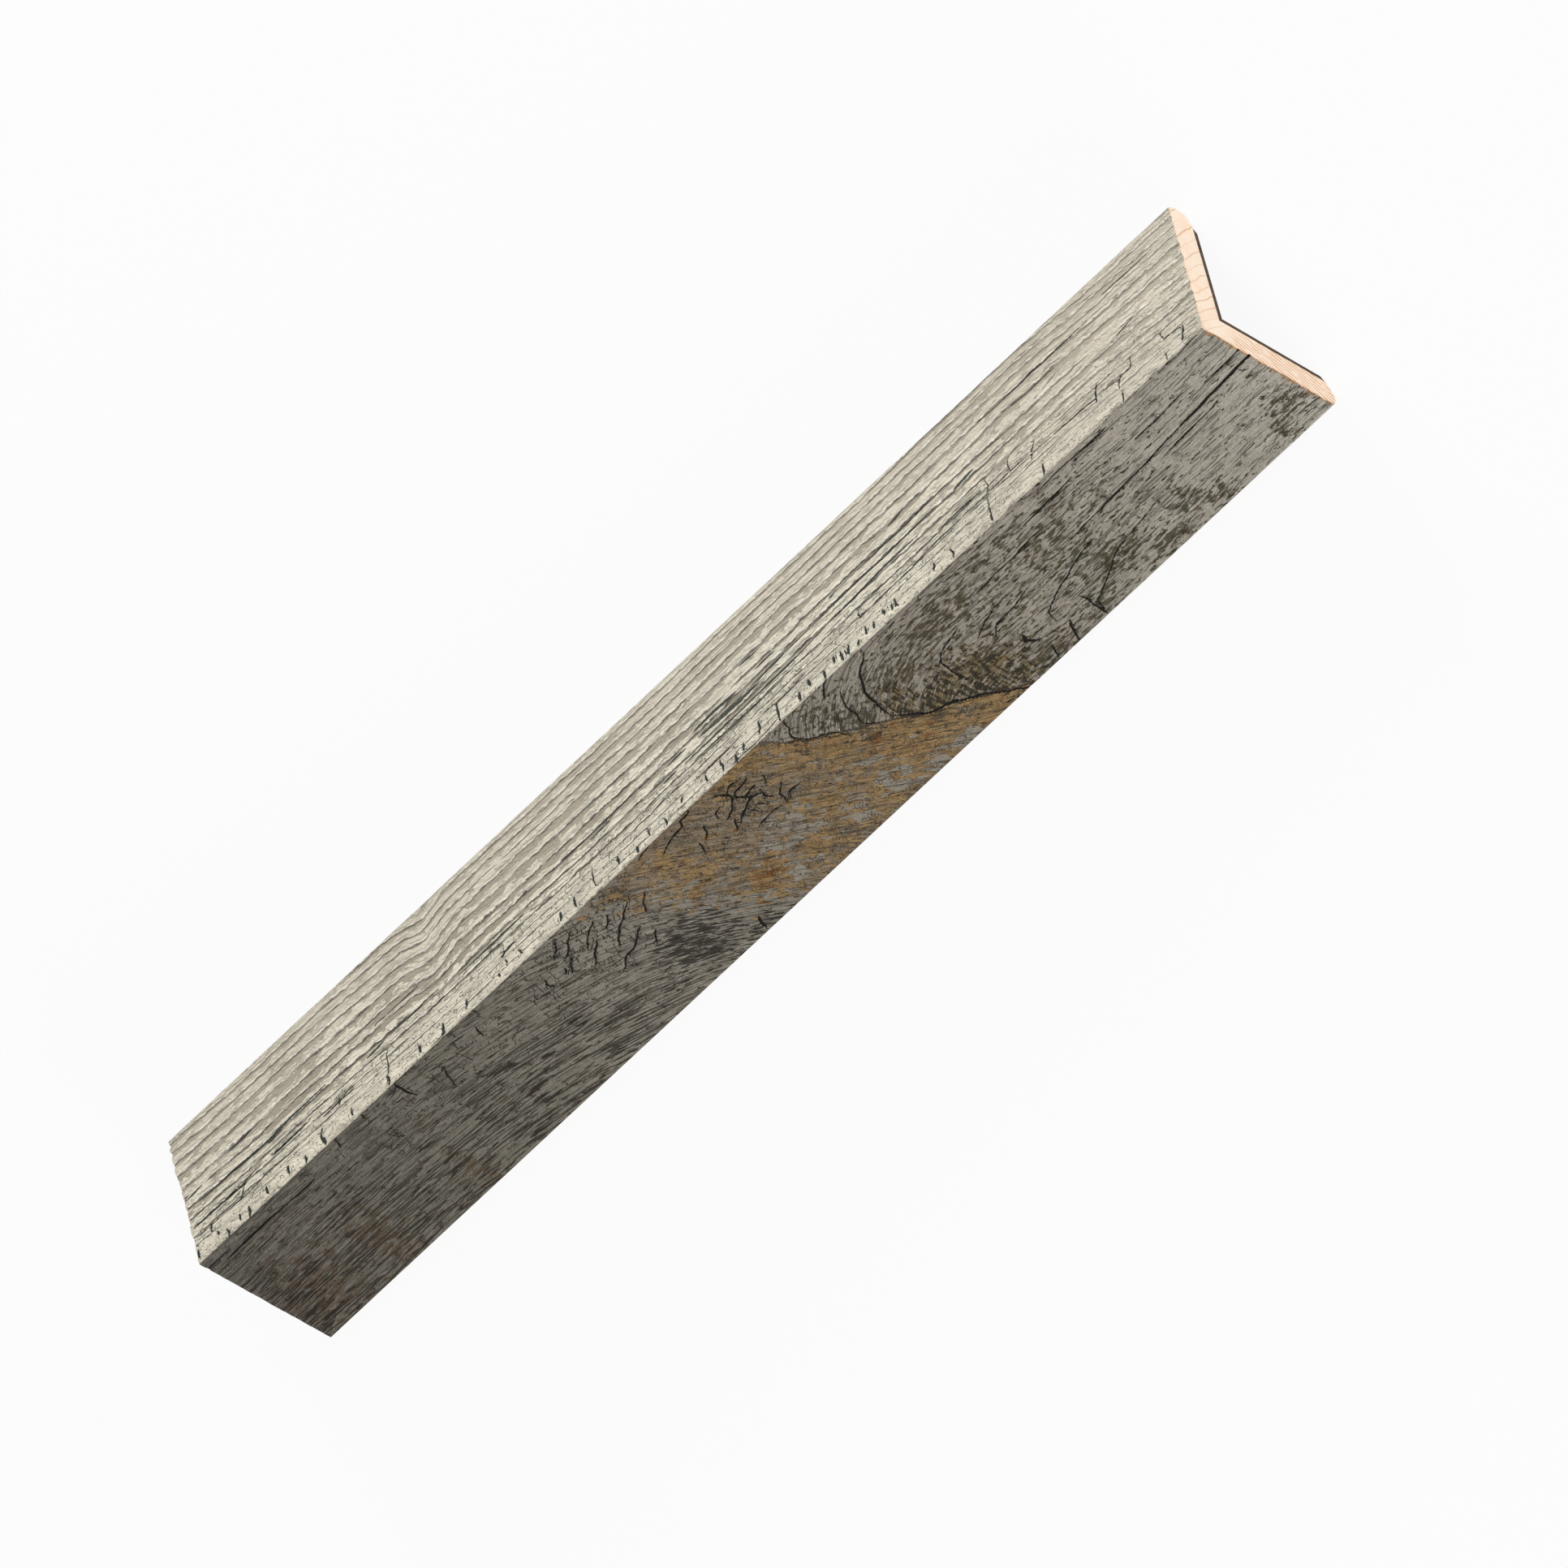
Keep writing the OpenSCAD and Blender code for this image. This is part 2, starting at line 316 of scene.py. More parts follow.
# The grey leg, in the same places
greyBoard = {
    # left edge of the tan heartwood, from the corner to the tip, and its right edge
    "heartLeftAcross": (0, 5, 8, 13, 19, 24.5, 27, 31.4, 38),
    "heartLeftAlong": (134, 131, 128, 122, 114, 108.7, 103, 98, 89),
    "heartRightAcross": (0, 8, 17, 28, 38),
    "heartRightAlong": (186, 180, 175, 168, 159),
    # the grain arches round a knot just outside the tip's edge
    "archAt": (94.0, 42.0),
    # tangent of the grain's slant past the arch, and the line of the leg that it is measured on
    "slantAlong": (94, 105, 120, 150, 175, 188, 200, 215, 230, 250, 275, 305),
    "slantTangent": (0.3, 0.85, 0.9, 0.98, 0.9, 0.5, 0.32, 0.26, 0.17, 0.07, 0.02, 0.0),
    "slantLine": 18,
    # smaller waves of the grain, and the ragged outline of the heartwood
    "waves": ((0.35, 22, 7, 21), (0.15, 7, 3, 22)),
    "heartWaves": ((0.9, 5, 3, 23), (0.4, 1.7, 1.3, 29)),
    # depths: the heartwood below the paint, the ripple of the grain, the face below its solid, the cracks
    "heartDeep": 0.25,
    "rippleDeep": 0.06,
    "faceDeep": 0.03,
    "crackDeep": 0.45,
    "cracks": (
        (0.28, 0.01, (-12, 12.7), (0, 13.3), (8, 13.7), (17, 14.3), (27, 14.9)),
        (0.13, 0.02, (22, 14.7), (32, 15.4), (44, 16), (58, 16.6)),
        (0.1, 0.02, (12, 16.2), (22, 16.9), (30, 17.3)), (0.1, 0.03, (2, 0.2), (14.5, 0.8)),
        (0.12, 0.03, (31, 1.8), (40, 1.8), (50, 2)), (0.1, 0.03, (45, 5.1), (60, 5.8)),
        (0.1, 0.03, (-1, 10.2), (11, 10.6)), (0.08, 0.03, (15.6, 8.6), (30, 9.2)),
        (0.1, 0.04, (59.4, 9.6), (67.5, 10.1), (78, 10.5)),
        (0.09, 0.06, (54.4, 20.4), (62.5, 22), (68.8, 23.9), (74.4, 26.4), (75.3, 29.5)),
        (0.09, 0.06, (37.5, 24.5), (48.8, 26), (56.3, 27.6), (61.9, 30.8), (66.3, 32.6), (67.5, 37)),
        (0.12, 0.06, (67.5, 28), (67.8, 37)), (0.2, 0.1, (73.4, 31.5), (75.2, 34.5), (76.3, 37.1)),
        (0.22, 0.06, (103.7, 1.7), (108.7, 5.1), (111.8, 9.5), (112.5, 13.3), (113.3, 19)),
        (0.26, 0.1, (113.5, 18.6), (110, 22.4), (108.7, 24.4), (103.1, 26.6), (98.1, 30.4), (95, 34.6),
         (89.6, 38)), (0.13, 0.1, (112.7, -0.5), (116.2, 2), (117.5, 3.6)),
        (0.15, 0.12, (126.5, -0.5), (127.5, 2.6), (129.3, 5.1), (128.1, 8.1), (125, 9.9), (122.8, 12.4),
         (122.1, 15)), (0.1, 0.1, (114.3, 4.8), (116.2, 7.6), (117.1, 12), (118.1, 15.1), (116.8, 17.6)),
        (0.11, 0.06, (88, 13.4), (95, 15.2), (97.1, 17.4), (97.5, 22), (96.8, 25)),
        (0.09, 0.05, (72, 18.3), (83, 19.6), (85.5, 22)),
        (0.08, 0.05, (76.5, 15.8), (83.7, 17), (88.2, 19.3)), (0.28, 0.2, (82, 26.2), (83, 28), (81, 30)),
        (0.14, 0.15, (80.6, 33), (82.5, 36.8)),
        (0.2, 0.14, (150.6, 2.6), (148, 5.7), (145.6, 9.6), (144, 10.4)),
        (0.14, 0.14, (145.6, 9.6), (150, 10.8), (152.5, 12.4)),
        (0.12, 0.14, (148, 5.7), (150.6, 8.4), (153.4, 9.4)), (0.12, 0.14, (142.5, 4.9), (147.5, 6)),
        (0.12, 0.14, (143, 7.6), (146.6, 8)), (0.12, 0.12, (137.1, 15.1), (140.6, 15), (141.7, 16.4)),
        (0.1, 0.14, (143.9, 4.2), (146.6, 3.4), (148.4, 4.6)),
        (0.12, 0.14, (143.6, 9.2), (144.3, 11.4), (143.4, 13.2)),
        (0.1, 0.14, (146.8, 11.6), (145.4, 13.8)), (0.1, 0.14, (148.8, 11), (148.3, 13.6)),
        (0.1, 0.14, (151.4, 5.4), (153.6, 6.2), (154.4, 8)), (0.08, 0.14, (140.2, 6.8), (141.6, 9.6)),
        (0.08, 0.12, (144, 16.2), (151.4, 16.4)),
        (0.15, 0.1, (155.5, -0.5), (156.2, 1.1), (159.3, 1.4), (159.9, 2.9), (163.7, 3.3), (168, 4.8)),
        (0.14, 0.1, (167.4, 0.1), (171.8, 1.4)), (0.14, 0.08, (194.3, 2.6), (197.4, 5.4), (200.5, 7.3)),
        (0.2, 0.14, (192.4, 8.8), (194.9, 10.7), (197.4, 13.1)),
        (0.17, 0.1, (184.6, 13.7), (187.4, 15.6), (189.9, 17.1), (193, 17.4), (196.2, 19.8)),
        (0.13, 0.1, (186.2, 5.8), (189.3, 8.6)), (0.12, 0.1, (189, 4.7), (192.4, 6.4), (195.5, 8.9)),
        (0.11, 0.1, (181.2, 7), (186.2, 10), (189.9, 12.7)), (0.16, 0.1, (202, 8.6), (203.3, 10.1)),
        (0.1, 0.2, (206.8, 6.7), (207.7, 8.6), (207, 10.4)), (0.1, 0.2, (211, 8.2), (211.6, 10)),
        (0.13, 0.1, (221.6, -0.5), (221.2, 2.2)), (0.13, 0.1, (224.3, 3.9), (225.2, 7)),
        (0.24, 0.15, (169.3, 33), (170.6, 36.4)), (0.1, 0.1, (177.5, 8.5), (181.4, 12.5)),
        (0.12, 0.1, (187.8, 11), (191.4, 14.6)), (0.1, 0.1, (197.5, 1.2), (201.8, 5.4)),
        (0.11, 0.12, (199, 7.6), (202.3, 11.2)), (0.12, 0.1, (183.4, 17.2), (186.4, 20.3)),
        (0.14, 0.14, (157.2, 6.4), (160, 9.4)), (0.1, 0.14, (161.4, 9), (163, 12)),
        (0.16, 0.14, (152.4, 10.6), (154.2, 13.2)), (0.1, 0.14, (139.4, 11.6), (142.3, 13.6), (143, 17)),
        (0.18, 0.1, (245.2, -0.4), (245.4, 3.3), (245, 6.4)), (0.09, 0.1, (236.1, 5.4), (238.6, 11.4)),
        (0.11, 0.1, (255.5, -0.4), (255.8, 2)), (0.12, 0.1, (263.6, 0.4), (264.4, 2.9)),
        (0.16, 0.015, (274.2, 4.5), (288, 4), (300.5, 4.2)), (0.14, 0.015, (298, 2.6), (306, 2.6))),
}

# Soft patches of the grey leg: along, across, half length, half width, strength
greyPatches = {
    "flakes": (  # flaked paint
        (5, 29, 5, 5, 0.8), (10, 33, 4, 5, 0.7), (31, 34, 5, 4, 0.7), (36, 30, 6, 5, 0.6),
        (56, 27, 9, 5, 0.7), (46, 34, 7, 3, 0.7), (66, 33, 8, 4, 0.6), (45, 12, 6, 4, 0.4),
        (62, 12, 12, 6, 0.55), (52, 6, 6, 4, 0.5), (70, 4, 14, 3, 0.5), (88, 8, 14, 6, 0.65),
        (72, 18, 38, 22, 0.35), (60, 20, 9, 4, 0.6), (84, 34, 10, 4, 0.8), (92, 26, 8, 6, 0.9),
        (104, 12, 8, 5, 0.7), (106, 24, 7, 6, 0.8), (118, 14, 4, 6, 0.6)),
    "spots": (  # round dark spots
        (122, 5, 9, 6, 1), (118, 13, 5, 7, 0.9), (108, 8, 8, 6, 0.6), (97, 20, 8, 6, 0.5),
        (84, 12, 10, 6, 0.4), (45, 25, 8, 5, 0.3)),
    "dark": (  # nearly black clusters
        (181, 27, 10, 9, 1), (170, 36, 7, 3, 0.9), (187, 31, 9, 6, 0.6), (213, 21, 5, 2.5, 0.6),
        (228, 19, 4, 4, 0.5), (200, 27, 9, 3, 0.35), (202, 34, 13, 5, 0.35), (233, 16, 6, 3, 0.45),
        (238, 23, 4, 4, 0.5), (277, 14, 6, 5, 0.5), (230, 27, 4, 5, 0.4), (299, 30, 8, 12, 0.45)),
    "brown": (  # worn to brown wood
        (253, 32, 3, 8, 0.8), (278, 27, 5, 12, 0.9), (297, 27, 9, 13, 0.95), (287, 18, 7, 5, 0.5),
        (267, 33, 5, 4, 0.4), (250, 12, 2, 2, 0.5), (219, 6, 3, 2, 0.5), (291, 6, 9, 4, 0.45)),
    "stripes": (  # combed stripes beside the knot
        (100, 28, 13, 10, 1), (110, 17, 4, 5, 0.9), (90, 34, 6, 6, 0.7)),
    "checks": (  # short cracks across the grain
        (148, 8, 8, 8, 0.75), (160, 12, 9, 7, 0.5), (192, 9, 13, 9, 0.9), (207, 10, 7, 8, 0.6),
        (120, 8, 6, 7, 0.5), (240, 8, 26, 7, 0.4)),
    "tan": (  # bare heartwood
        (141, 2, 8, 3, 0.9), (131, 8, 7, 8, 0.6), (124, 15, 7, 7, 0.9), (113, 26, 10, 8, 1),
        (101, 34, 9, 4, 0.8), (130, 31, 12, 6, 0.7), (140, 24, 9, 6, 0.6), (169, 7, 3.5, 4.5, 0.7),
        (181, 4, 3, 2, 0.45), (170, 15, 9, 3, 0.6), (179, 15, 5, 6, 0.65), (160, 27, 7, 5, 0.8),
        (167, 32, 8, 5, 0.7), (149, 30, 6, 6, 0.7)),
    "islands": (  # paint left on it
        (126, 31, 5, 7, 0.8), (135, 30, 4, 4, 0.8), (147, 23, 6, 5, 0.9), (107, 36, 6, 2, 0.9),
        (154, 31, 3, 6, 0.9), (165, 19, 8, 4, 0.5), (118, 35, 5, 3, 0.6), (139, 14, 5, 4, 0.4),
        (176, 25, 6, 5, 0.6)),
    "rust": (  # and where it is rusty
        (120, 20, 8, 4, 0.6), (126, 12, 4, 5, 0.7), (160, 26, 5, 4, 0.9), (112, 29, 6, 3, 0.6),
        (140, 28, 3, 2, 0.7), (151, 32, 2, 3, 0.6), (152, 13, 5, 3, 0.4)),
}


def paleFields(x, y):
    # ring coordinate, half width of its groove and depth of the relief, at each point of the pale face
    b = paleBoard
    drift = np.interp(x, b["driftAlong"], b["driftAcross"])
    dip = b["dipDeep"] * np.exp(-((x - b["dipAt"]) / b["dipWide"]) ** 2) * ease(y, 9, 20)
    flat = y - drift + dip + sway(0.0, x, y, b["waves"])
    ring = np.interp(flat, b["grooveAt"], np.arange(len(b["grooveAt"])))
    line = np.round(ring)
    force = np.interp(line, np.arange(len(b["grooveAt"])), b["grooveForce"])
    # each groove comes and goes along the board and has lumpy sides
    come = 0.5 + 0.65 * wander(x / 17, line * 3.7, 14) + 0.3 * wander(x / 5, line * 5.3, 15)
    lumps = 0.11 * wander(x / 1.7, ring * 2.4, 16) + 0.1 * wander(x / 4, ring * 2, 17)
    half = np.clip(force * (0.2 + 0.85 * come) + lumps * force, 0.0, 1.1) * (1 + 0.3 * ease(x, 90, 190))
    gap = np.abs(ring - line) * b["ringWide"]
    groove = ease(half + 0.25 - gap, 0.0, 0.5)
    crown = b["crownDeep"] * (1 - ease(gap, 0.0, 1.6)) + b["brushDeep"] * (1 + wander(x / 6, y / 1.5, 18))
    relief = b["grooveDeep"] * groove * ease(half, 0.02, 0.5) + crown * ease(y, 0.0, 12.0)
    return ring, half, relief


def patchSum(x, y, patches):
    total = np.zeros(x.shape)
    for cx, cy, rx, ry, strength in patches:
        total = np.maximum(total, strength * np.exp(-0.7 * (((x - cx) / rx) ** 2 + ((y - cy) / ry) ** 2)))
    return total


def greyFields(x, y):
    # grain coordinate, depth inside the heartwood, and a coordinate that runs along the slanting grain
    b = greyBoard
    cx, cy = b["archAt"]
    # the arch round the knot up to the heartwood, the slanting grain from there on
    leftEdge = np.interp(y, b["heartLeftAcross"], b["heartLeftAlong"])
    rightEdge = np.interp(y, b["heartRightAcross"], b["heartRightAlong"])
    arch = cy - np.hypot(np.maximum(x - cx, 0), np.maximum(cy - y, 0.3))
    run = np.linspace(0, length, 200)
    tangent = np.interp(run, b["slantAlong"], b["slantTangent"])
    climb = np.concatenate(([0], np.cumsum(tangent[:-1] * np.diff(run))))
    slant = y + np.interp(x, run, climb)
    grain = sway(np.where(x < leftEdge, arch, slant), x, y, b["waves"])
    # the far edge of the heartwood fades over a longer way than the near one
    heart = sway(np.minimum(x - leftEdge, (rightEdge - x) * 0.35), x, y, b["heartWaves"])
    cross = x - np.interp(x, run, tangent) * (y - b["slantLine"])
    return grain, heart, cross


# One closed mesh, made as a section loop swept along the length
meshGrid = {
    "alongStep": 0.6,  # millimetres between stations
    "paleStep": 0.4,
    "greyStep": 0.52,
    "noseSteps": 6,
    "backSteps": 4,
    "capInset": 0.5,  # width of the broken edge round the sawn ends
    "sharpAngle": 58,  # degrees from which an edge is drawn sharp
}
parts = ("paleFace", "greyFace", "edge", "back", "sawnEnd")

# Wear and saw marks, in millimetres
edgeWear = {
    "cornerReach": 0.7,  # how far from the corner the wear is felt
    "cornerWaves": ((0.1, 7.0, 25), (0.08, 1.6, 26)),  # depth, length along the corner, seed
    "cornerFade": 1.2,  # from the corner to where the relief is whole
    "tipFade": 0.9,  # from where the relief starts to lessen to the face's lower edge
    "tipShare": 0.75,  # share of it that is gone there
    "reliefUnder": 2.0,  # depth below the face where nothing moves any more
    "legApart": 12.0,  # a point belongs to the leg along which it lies this much further out
    # end, direction, depth on the pale leg and on the grey one, seed
    "sawTears": ((0, 1, 0.2, 0.35, 27), (-1, -1, 0.8, 0.12, 28)),
}


def legTip(bevelRun, bevelStart):
    # (along the leg, depth) from just past the face's edge, round the nose, down the bevel to the back edge
    s = section
    radius = (s["noseProud"] ** 2 + s["noseDepth"] ** 2) / (2 * s["noseProud"])
    centre = s["legWidth"] - radius
    points = []
    for depth in np.linspace(0, bevelStart * s["woodThick"], meshGrid["noseSteps"] + 1)[1:]:
        reach = math.sqrt(max(0.0, radius ** 2 - (depth - s["noseDepth"]) ** 2))
        points.append((max(faceWidth, centre + reach), depth))
    edge = (s["legWidth"] - bevelRun, s["woodThick"])
    points.append(((points[-1][0] + edge[0]) / 2, (points[-1][1] + edge[1]) / 2))
    points.append(edge)
    return points


def sectionLoop():
    # u runs down the pale leg and v down the grey one; each entry is (u, v, part of the quad that follows)
    s, thick, r = section, section["woodThick"], section["cornerRadius"]
    paleTip = legTip(s["paleBevelRun"], s["paleBevelStart"])
    greyTip = legTip(s["greyBevelRun"], s["greyBevelStart"])
    back = meshGrid["backSteps"]
    loop = [(u, thick, "back") for u in np.linspace(thick, paleTip[-1][0], back + 1)[:-1]]
    loop += [(u, v, "edge") for u, v in reversed(paleTip)]
    count = round((faceWidth - r) / meshGrid["paleStep"])
    loop += [(u, 0.0, "paleFace") for u in np.linspace(faceWidth, r, count + 1)]
    loop += [(r * (1 - slope), r * (1 - slope), "greyFace")]
    count = round((faceWidth - r) / meshGrid["greyStep"])
    loop += [(0.0, v, "greyFace") for v in np.linspace(r, faceWidth, count + 1)[:-1]]
    loop += [(0.0, faceWidth, "edge")]
    loop += [(u, v, "edge") for v, u in greyTip[:-1]] + [(thick, greyTip[-1][0], "back")]
    loop += [(thick, v, "back") for v in np.linspace(greyTip[-1][0], thick, back + 1)[1:-1]]
    return loop


def toFrame(along, u, v):
    # from millimetres on the section to metres in the frame
    up = np.maximum(ridge - (u + v) * slope, 0.0)
    return np.stack([length / 2 - along, (u - v) * slope, up], -1) * mm


def carve(deep, across, down):
    # relief of one leg: whole on its face, less at the corner and the tip, none round the nose
    w = edgeWear
    onLeg = (down < 0.01) | (across > down + w["legApart"])
    share = np.where(onLeg, np.clip(1 - down / w["reliefUnder"], 0, 1), 0)
    tip = 1 - w["tipShare"] * ease(across, faceWidth - w["tipFade"], faceWidth)
    return deep * share * ease(across, 0.0, w["cornerFade"]) * tip


def buildMoulding():
    loop = sectionLoop()
    u0 = np.array([p[0] for p in loop])
    v0 = np.array([p[1] for p in loop])
    stations = np.linspace(0, length, round(length / meshGrid["alongStep"]) + 1)
    along, u = np.meshgrid(stations, u0, indexing="ij")
    v = np.broadcast_to(v0, along.shape).copy()
    u = u.copy()

    ring, half, paleRelief = paleFields(along, u)
    grain, heart, cross = greyFields(along, v)
    rng = np.random.default_rng(5)
    checks = []
    for at in paleBoard["checksAt"]:
        top = rng.uniform(2.6, 4.8)
        foot = (at + rng.uniform(-0.5, 0.5), top - rng.uniform(1.2, 3.4))
        width = rng.uniform(0.19, 0.34) * min(1.0, 0.4 + at / 160)  # finer towards the end that shows
        checks.append((width, 0.12, (at, top), foot))
    paleMarks = drawMarks(along, u, paleBoard["cracks"] + tuple(checks), 31)
    paleStreaks = drawMarks(along, u, paleBoard["streaks"], 33)
    greyMarks = drawMarks(along, v, greyBoard["cracks"], 32)
    patches = {name: patchSum(along, v, rows) for name, rows in greyPatches.items()}

    # the relief only goes inwards, so the piece stays inside its solid
    paleCrack = 1 - ease(paleMarks[3], paleMarks[2], paleMarks[2] + 0.4)
    greyCrack = 1 - ease(greyMarks[3], greyMarks[2], greyMarks[2] + 0.35)
    step = greyBoard["heartDeep"] * ease(heart, -0.3, 0.6) * ease(215 - along, 0, 30)
    ripple = greyBoard["rippleDeep"] * (1 + wander(along / 9, grain / 1.3, 24)) * 0.5
    v += carve(paleRelief + paleBoard["crackDeep"] * paleCrack, u0, v0)
    u += carve(greyBoard["faceDeep"] + step + ripple + greyBoard["crackDeep"] * greyCrack, v0, u0)
    wear = sum(deep * (1 + wander(along / size, 0, seed)) for deep, size, seed in edgeWear["cornerWaves"])
    corner = np.exp(-((u0 + v0) / edgeWear["cornerReach"]) ** 2) * wear
    u += corner
    v += corner

    # broken edges of the saw cuts, most on the far end of the pale face and none on the back
    walk = np.cumsum(np.hypot(np.gradient(u0), np.gradient(v0)))
    tearShare = np.clip(1.2 - np.minimum(u0, v0), 0.2, 1)
    along = along.copy()
    for row, sign, paleTear, greyTear, seed in edgeWear["sawTears"]:
        tear = np.where(u0 > v0, paleTear, greyTear) * tearShare
        jag = sway(0.3, walk, 0.0, ((0.5, 3.4, 1, seed), (0.3, 0.9, 1, seed + 3)))
        along[row] += sign * tear * np.maximum(jag, 0)

    rows, across = along.shape
    points = toFrame(along, u, v).reshape(-1, 3).tolist()
    index = np.arange(rows * across).reshape(rows, across)
    nextIndex = np.roll(index, -1, axis=1)
    quads = np.stack([index[:-1], index[1:], nextIndex[1:], nextIndex[:-1]], -1).reshape(-1, 4)
    faces = quads.tolist()
    kinds = [parts.index(p[2]) for p in loop] * (rows - 1)

    # each end: a narrow broken rim, then the flat sawn face
    tangent = np.stack([np.roll(u0, -1) - np.roll(u0, 1), np.roll(v0, -1) - np.roll(v0, 1)], -1)
    tangent /= np.linalg.norm(tangent, axis=1)[:, None]
    inset = meshGrid["capInset"]
    for row, at, turn in ((0, 0.0, 1), (rows - 1, length, -1)):
        uIn = np.maximum(u[row] + tangent[:, 1] * inset, inset)
        vIn = np.maximum(v[row] - tangent[:, 0] * inset, inset)
        start = len(points)
        points += toFrame(np.full(across, at), uIn, vIn).tolist()
        outer = index[row].tolist()
        inner = list(range(start, start + across))
        for k in range(across):
            n = (k + 1) % across
            faces.append([outer[k], outer[n], inner[n], inner[k]][::turn])
        faces.append(inner[::turn])
        kinds += [parts.index("sawnEnd")] * (across + 1)

    mesh = bpy.data.meshes.new("cornerGuard")
    mesh.from_pydata(points, [], faces)
    mesh.polygons.foreach_set("material_index", kinds)
    mesh.polygons.foreach_set("use_smooth", [True] * len(faces))

    # three values for each point under each name, for the materials
    for name, channels in (
            ("paleGrain", (along, ring, half)),
            ("sectionAt", (np.broadcast_to(u0, along.shape), np.broadcast_to(v0, along.shape), cross)),
            ("paleMarks", paleMarks[:3]),
            ("paleStreaks", paleStreaks[:3]),
            ("greyGrain", (along, grain, heart)),
            ("greyMarks", greyMarks[:3]),
            ("greySpots", (patches["flakes"], patches["dark"], patches["brown"])),
            ("greyChecks", (patches["stripes"], patches["checks"], patches["spots"])),
            ("heartSpots", (patches["tan"], patches["islands"], patches["rust"]))):
        stack = np.stack([np.concatenate([c.ravel(), c[0], c[-1]]) for c in channels], -1)
        layer = mesh.attributes.new(name, "FLOAT_VECTOR", "POINT")
        layer.data.foreach_set("vector", stack.astype(np.float32).ravel())
    mesh.validate()
    mesh.update()
    mesh.set_sharp_from_angle(angle=math.radians(meshGrid["sharpAngle"]))
    piece = bpy.data.objects.new("cornerGuard", mesh)
    bpy.context.scene.collection.objects.link(piece)
    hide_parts("moulding")
    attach(piece, "root")
    print("moulding built:", len(points), "points,", sum(len(f) - 2 for f in faces), "triangles")
    return piece


moulding = buildMoulding()


def attribute(name):
    # a point value kept on the mesh, split into its three channels
    vector = addNode("Attribute", out="Vector", attribute_name=name)
    return addNode("SeparateXYZ", {0: vector}).node.outputs


def weigh(base, *pairs):
    # base plus each value times its weight
    total = base
    for value, weight in pairs:
        total = addNode("Math", {0: value, 1: weight, 2: total}, operation="MULTIPLY_ADD")
    return total


def product(first, *others):
    for other in others:
        first = addNode("Math", {0: first, 1: other}, operation="MULTIPLY")
    return first


def between(value, start, end, low=0, high=1):
    # eases from low to high while value goes from start to end
    return addNode("MapRange", {"Value": value, "From Min": start, "From Max": end,
                                "To Min": low, "To Max": high}, interpolation_type="SMOOTHSTEP")


def layers(look, base, *coats):
    # lays coats over the base, each through the product of its masks; look holds the colours that are named
    colour = hexColour(look[base]) if isinstance(base, str) else base
    for name, *masks in coats:
        coat = hexColour(look[name]) if isinstance(name, str) else name
        colour = addNode("Mix", {0: product(*masks), 6: colour, 7: coat}, out=2, data_type="RGBA")
    return colour


def woodNoise(along, across, pattern):
    # Blotches with values about 0.5. A pattern is their size along and across in millimetres, their detail
    # and their place in the noise; two more numbers in it are the values that become 0 and 1.
    long, wide, detail, shift, *levels = pattern
    x = weigh(shift, (along, 1 / long))
    y = weigh(shift * 0.7, (across, 1 / wide))
    place = addNode("CombineXYZ", {0: x, 1: y})
    value = addNode("TexNoise", {"Vector": place, "Scale": 1, "Detail": detail, "Roughness": 0.6},
                    noise_dimensions="2D")
    return between(value, *levels) if levels else value


def hairlines(along, across, pattern, upright=False):
    # crisp lines round such blotches; the pattern ends with their thickness. Upright ones cross the grain.
    *blotches, thick = pattern
    first = woodNoise(along, across, blotches)
    if upright:
        along = weigh(thick, (along, 1))
    else:
        across = weigh(thick, (across, 1))
    second = woodNoise(along, across, blotches)
    both = product(weigh(-0.5, (first, 1)), weigh(-0.5, (second, 1)))
    return addNode("Math", {0: both, 1: 0}, operation="LESS_THAN")


def drawnCracks(name, along, across):
    # the cracks drawn on the mesh, with rough sides: 1 inside, 0 outside
    offX, offY, half = attribute(name)
    square = product(offY, offY)
    square = addNode("Math", {0: offX, 1: offX, 2: square}, operation="MULTIPLY_ADD")
    gap = addNode("Math", {0: square}, operation="SQRT")
    rough = woodNoise(along, across, (0.8, 0.6, 3, 3.3))
    return between(weigh(-0.14, (half, 1), (gap, -1), (rough, 0.34)), -0.1, 0.05)


def finishWood(material, roughness, colour, *heights):
    # a matt wood shader with that colour, and a bump that adds up heights in millimetres
    bump = addNode("Bump", {"Height": weigh(0, *heights), "Strength": 1, "Distance": mm})
    shader = addNode("BsdfPrincipled", {"Base Color": colour, "Roughness": roughness, "IOR": 1.45,
                                        "Specular IOR Level": 0.3, "Normal": bump})
    addNode("OutputMaterial", {"Surface": shader})
    return material


